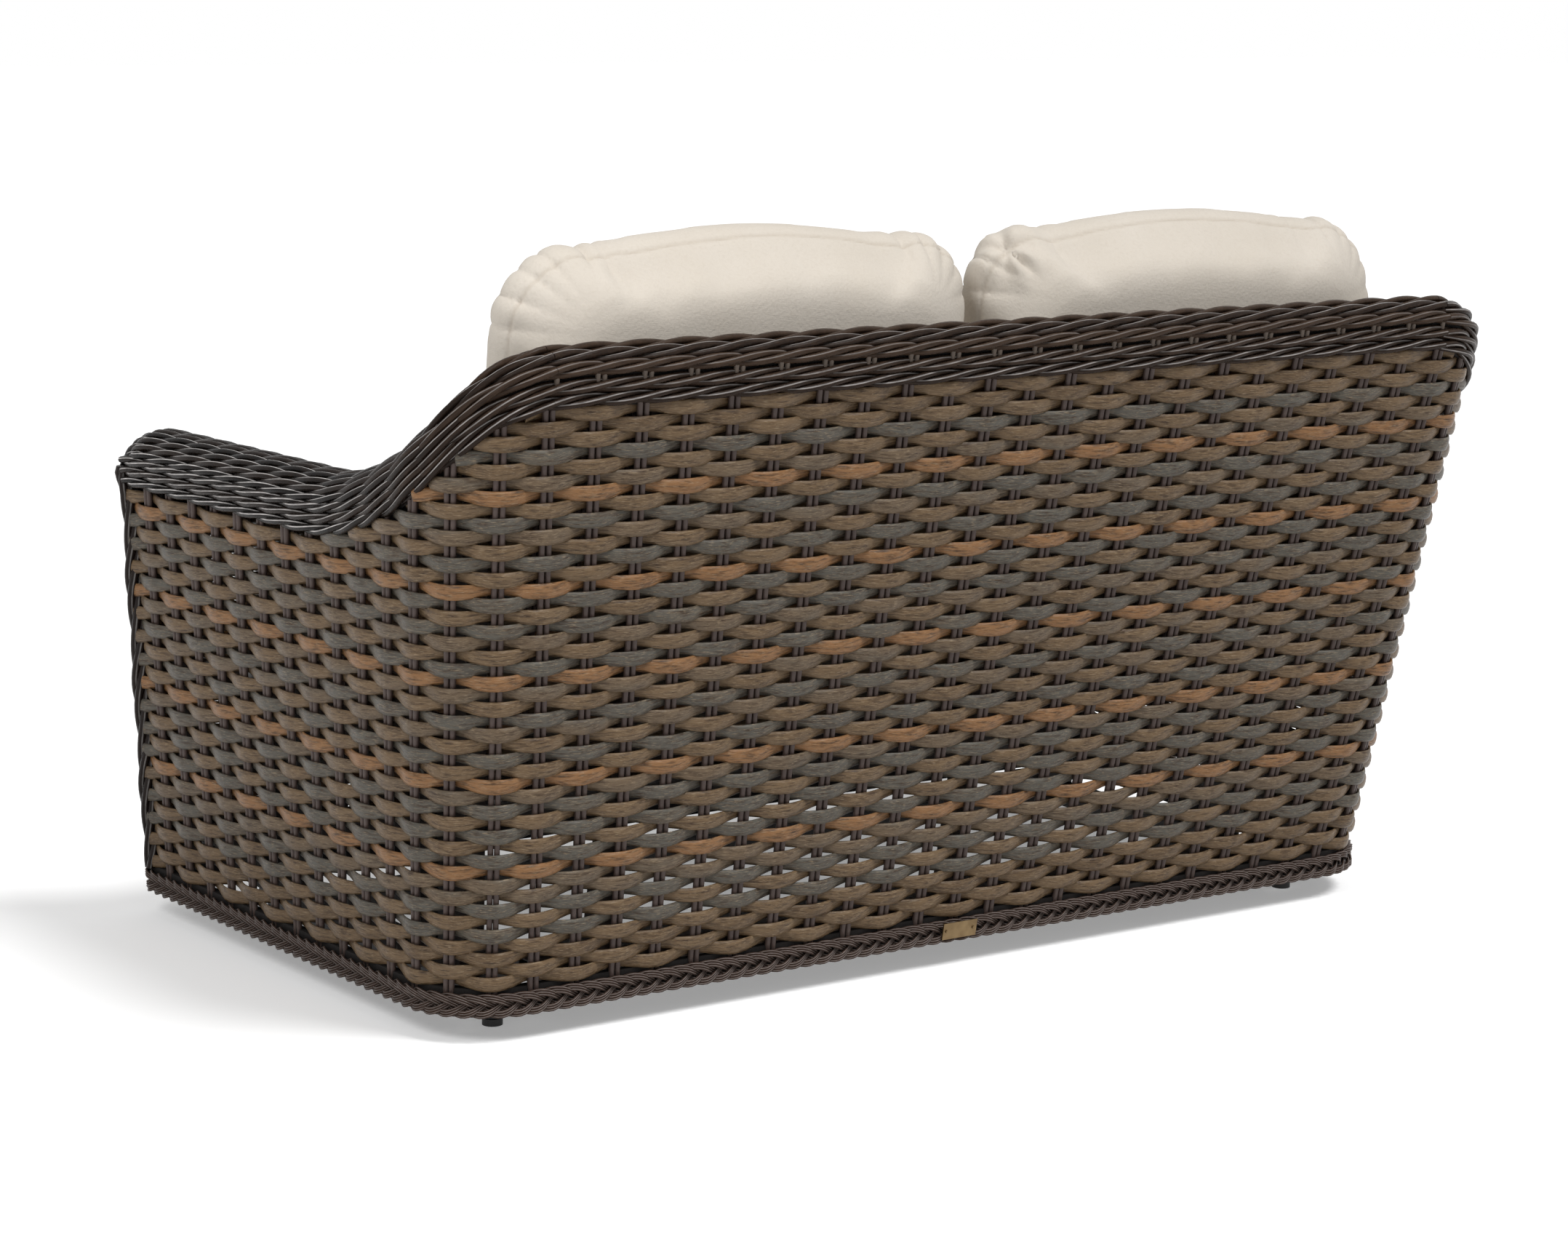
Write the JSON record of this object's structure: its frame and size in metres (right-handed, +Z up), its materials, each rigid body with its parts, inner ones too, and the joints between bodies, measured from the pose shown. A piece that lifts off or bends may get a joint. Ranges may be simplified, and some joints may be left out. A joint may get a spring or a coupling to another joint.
{
  "type": "double glider",
  "caption": "Woven two-seat glider with a high back, wrapped arms, loose seat and back cushions, hung on swing links from a low steel base",
  "frame": {"origin": "on the floor, under the middle of the bounding box", "axes": "+X towards the sitter's left, -Y the way a sitter faces, +Z up"},
  "size_m": [1.5774, 0.882, 0.9053],
  "materials": {
    "woven_strand": "woven half-round resin strands in mixed brown, grey and copper",
    "wrapped_cane": "dark round resin strands, wound and braided",
    "body_frame": "dark powder coat",
    "base_frame": "dark powder coat",
    "links": "dark powder coat",
    "bushes": "plain",
    "cushion_cloth": "plain woven cream cloth",
    "webbing": "woven strap",
    "plate": "satin",
    "pins": "plated",
    "glides": "plain"
  },
  "bodies": {
    "base": {"base_left_rail": "base_frame", "base_right_rail": "base_frame", "base_crossbars": "base_frame", "base_left_uprights": "base_frame", "base_right_uprights": "base_frame", "floor_glides": "glides", "upper_pins": "pins"},
    "left_front_link": {"left_front_link": "links", "left_front_bushes": "bushes"},
    "left_rear_link": {"left_rear_link": "links", "left_rear_bushes": "bushes"},
    "right_front_link": {"right_front_link": "links", "right_front_bushes": "bushes"},
    "right_rear_link": {"right_rear_link": "links", "right_rear_bushes": "bushes"},
    "seat": {"woven_back": "woven_strand", "woven_left_corner": "woven_strand", "woven_right_corner": "woven_strand", "woven_left_side": "woven_strand", "woven_right_side": "woven_strand", "left_arm_front": "woven_strand", "right_arm_front": "woven_strand", "left_arm_inner": "woven_strand", "right_arm_inner": "woven_strand", "inner_back": "woven_strand", "front_apron": "woven_strand", "left_front_trim": "wrapped_cane", "right_front_trim": "wrapped_cane", "back_roll": "wrapped_cane", "left_corner_roll": "wrapped_cane", "right_corner_roll": "wrapped_cane", "left_arm_roll": "wrapped_cane", "right_arm_roll": "wrapped_cane", "braid_back": "wrapped_cane", "braid_front": "wrapped_cane", "braid_left": "wrapped_cane", "braid_right": "wrapped_cane", "lower_rear_rail": "body_frame", "lower_front_rail": "body_frame", "hanger_bars": "body_frame", "rear_gussets": "body_frame", "back_posts": "body_frame", "corner_posts": "body_frame", "front_posts": "body_frame", "rear_seat_rail": "body_frame", "front_seat_rail": "body_frame", "side_seat_rails": "body_frame", "centre_seat_brace": "body_frame", "back_top_rail": "body_frame", "arm_rails": "body_frame", "left_seat_cushion": "cushion_cloth", "right_seat_cushion": "cushion_cloth", "left_back_cushion": "cushion_cloth", "right_back_cushion": "cushion_cloth", "seat_straps": "webbing", "name_plate": "plate", "plate_nails": "plate", "lower_pins": "pins"}
  },
  "joints": [
    {"name": "glide", "type": "hinge", "parent": "base", "child": "left_front_link", "pos_m": [0.623, -0.2556, 0.2675], "axis": [1, 0, 0], "range_deg": [-12.5, 12.5]},
    {"name": "left_rear_pivot", "type": "hinge", "parent": "base", "child": "left_rear_link", "pos_m": [0.623, 0.1044, 0.2675], "axis": [1, 0, 0], "range_deg": [-12.5, 12.5]},
    {"name": "right_front_pivot", "type": "hinge", "parent": "base", "child": "right_front_link", "pos_m": [-0.623, -0.2556, 0.2675], "axis": [1, 0, 0], "range_deg": [-12.5, 12.5]},
    {"name": "right_rear_pivot", "type": "hinge", "parent": "base", "child": "right_rear_link", "pos_m": [-0.623, 0.1044, 0.2675], "axis": [1, 0, 0], "range_deg": [-12.5, 12.5]},
    {"name": "seat_pivot", "type": "hinge", "parent": "left_front_link", "child": "seat", "pos_m": [0.623, -0.2556, 0.0775], "axis": [1, 0, 0], "range_deg": [-12.5, 12.5]}
  ],
  "couplings": [
    {"joint": "left_rear_pivot", "follows": "glide", "ratio": 1},
    {"joint": "right_front_pivot", "follows": "glide", "ratio": 1},
    {"joint": "right_rear_pivot", "follows": "glide", "ratio": 1},
    {"joint": "seat_pivot", "follows": "glide", "ratio": -1}
  ]
}
